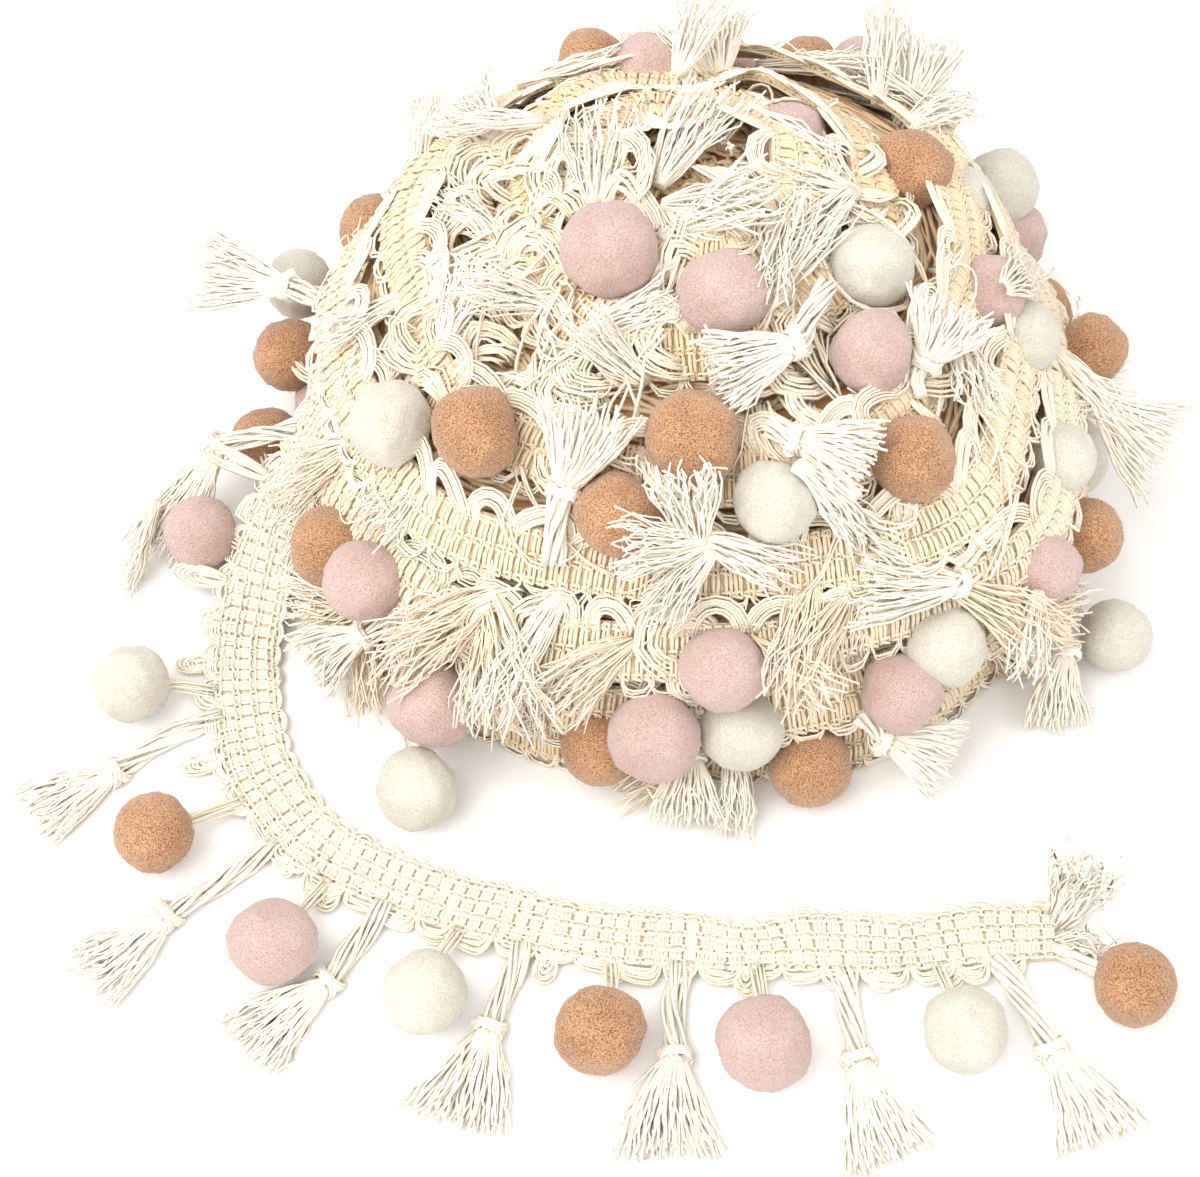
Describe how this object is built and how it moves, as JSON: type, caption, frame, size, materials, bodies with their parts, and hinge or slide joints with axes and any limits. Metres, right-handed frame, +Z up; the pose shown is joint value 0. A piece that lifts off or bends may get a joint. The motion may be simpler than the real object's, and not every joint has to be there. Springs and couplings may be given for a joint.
{
  "type": "pompom fringe trim",
  "caption": "Crocheted cotton trim with a looped edge hung with felt pompoms and knotted tassels, wound into a loose heap with one end run out flat.",
  "frame": {"origin": "on the surface that the trim lies on, under the middle of its overall box", "axes": "+Z up, -Y to the front where the loose end runs from left to right, +X to the right towards the cut end"},
  "size_m": [0.28, 0.2678, 0.1064],
  "materials": {
    "wound_cotton": "matt wound cotton yarn, warm in its hollows",
    "cotton_heading": "matt crocheted cotton with small open holes",
    "cotton_loops": "soft multi-strand cotton yarn",
    "cotton_tassel": "soft cut cotton strands",
    "felt_cream": "matt felted wool ball",
    "felt_tan": "matt felted wool ball",
    "felt_pink": "matt felted wool ball"
  },
  "bodies": {
    "root": {"wound_heap": "wound_cotton", "loose_heading": "cotton_heading", "loop_edging": "cotton_loops", "loose_pompom_01": "felt_tan", "loose_pompom_02": "felt_tan", "loose_pompom_03": "felt_pink", "loose_pompom_04": "felt_cream", "loose_pompom_05": "felt_tan", "loose_pompom_06": "felt_pink", "loose_pompom_07": "felt_cream", "loose_pompom_08": "felt_tan", "loose_pompom_09": "felt_pink", "loose_pompom_10": "felt_cream", "loose_pompom_11": "felt_tan", "heap_pompom_01": "felt_tan", "heap_pompom_02": "felt_cream", "heap_pompom_03": "felt_cream", "heap_pompom_04": "felt_tan", "heap_pompom_05": "felt_tan", "heap_pompom_06": "felt_pink", "heap_pompom_07": "felt_pink", "heap_pompom_08": "felt_pink", "heap_pompom_09": "felt_pink", "heap_pompom_10": "felt_cream", "heap_pompom_11": "felt_pink", "heap_pompom_12": "felt_cream", "heap_pompom_13": "felt_tan", "heap_pompom_14": "felt_cream", "heap_pompom_15": "felt_tan", "heap_pompom_16": "felt_tan", "heap_pompom_17": "felt_cream", "heap_pompom_18": "felt_tan", "heap_pompom_19": "felt_pink", "heap_pompom_20": "felt_cream", "heap_pompom_21": "felt_tan", "heap_pompom_22": "felt_pink", "heap_pompom_23": "felt_pink", "heap_pompom_24": "felt_cream", "loose_tassel_01": "cotton_tassel", "loose_tassel_02": "cotton_tassel", "loose_tassel_03": "cotton_tassel", "loose_tassel_04": "cotton_tassel", "loose_tassel_05": "cotton_tassel", "loose_tassel_06": "cotton_tassel", "loose_tassel_07": "cotton_tassel", "loose_tassel_08": "cotton_tassel", "heap_tassel_01": "cotton_tassel", "heap_tassel_02": "cotton_tassel", "heap_tassel_03": "cotton_tassel", "heap_tassel_04": "cotton_tassel", "heap_tassel_05": "cotton_tassel", "heap_tassel_06": "cotton_tassel", "heap_tassel_07": "cotton_tassel", "heap_tassel_08": "cotton_tassel", "heap_tassel_09": "cotton_tassel", "heap_tassel_10": "cotton_tassel", "heap_tassel_11": "cotton_tassel", "heap_tassel_12": "cotton_tassel", "heap_tassel_13": "cotton_tassel", "heap_tassel_14": "cotton_tassel"}
  },
  "joints": []
}
